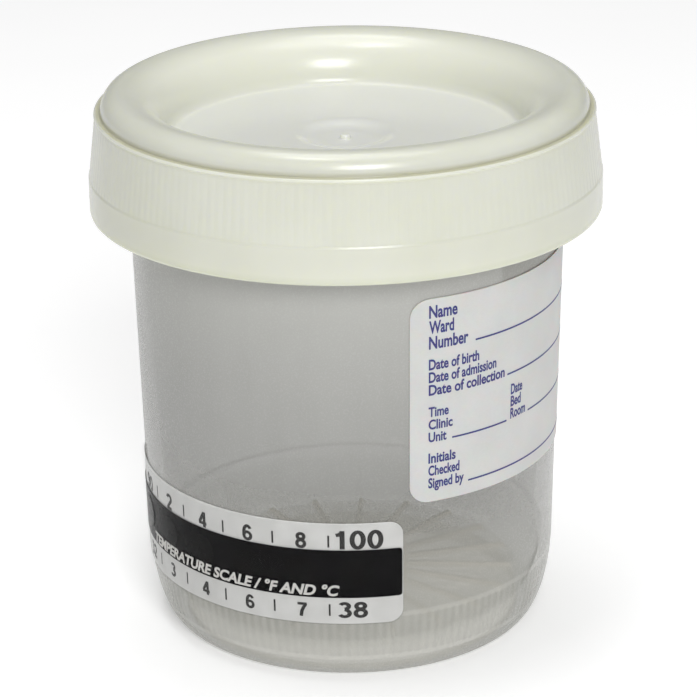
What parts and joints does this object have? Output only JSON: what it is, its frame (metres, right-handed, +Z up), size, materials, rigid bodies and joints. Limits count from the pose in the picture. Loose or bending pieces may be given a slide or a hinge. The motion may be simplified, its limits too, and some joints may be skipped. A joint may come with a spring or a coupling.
{
  "type": "lidded specimen bottle",
  "caption": "Short frosted plastic specimen bottle with a ribbed, dished cream screw lid, a write-on patient label and a wrap-round temperature strip.",
  "frame": {"origin": "centre of the base, on the surface that the bottle stands on", "axes": "+Z up along the bottle's axis, -Y to the front, where the strip ends and the label begins, +X towards the label"},
  "size_m": [0.07, 0.07, 0.076],
  "materials": {
    "cup_plastic": "frosted translucent moulding",
    "lid_plastic": "waxy cream moulding, slightly translucent",
    "seal": "soft off-white seal",
    "label_paper": "coated write-on paper",
    "strip_white": "white printed film",
    "strip_black": "black backing coat",
    "liquid_crystal": "dark, almost black when out of range",
    "clear_film": "clear glossy film"
  },
  "bodies": {
    "cup": {"cup": "cup_plastic", "patient_label": "label_paper", "strip_backing": "strip_white", "strip_black_layer": "strip_black", "liquid_crystal_90": "liquid_crystal", "liquid_crystal_92": "liquid_crystal", "liquid_crystal_94": "liquid_crystal", "liquid_crystal_96": "liquid_crystal", "liquid_crystal_98": "liquid_crystal", "liquid_crystal_100": "liquid_crystal", "strip_cover": "clear_film"},
    "seal": {"rim_gasket": "seal"},
    "lid": {"lid": "lid_plastic"}
  },
  "joints": [
    {"name": "lid_rise", "type": "slide", "parent": "cup", "child": "seal", "axis": [0, 0, 1], "range_m": [0, 0.0301]},
    {"name": "lid_turn", "type": "hinge", "parent": "seal", "child": "lid", "pos_m": [0, 0, 0.0594], "axis": [0, 0, 1], "range_deg": [0, 1080]}
  ],
  "couplings": [
    {"joint": "lid_rise", "follows": "lid_turn", "m_per_rad": 0.0015915}
  ]
}
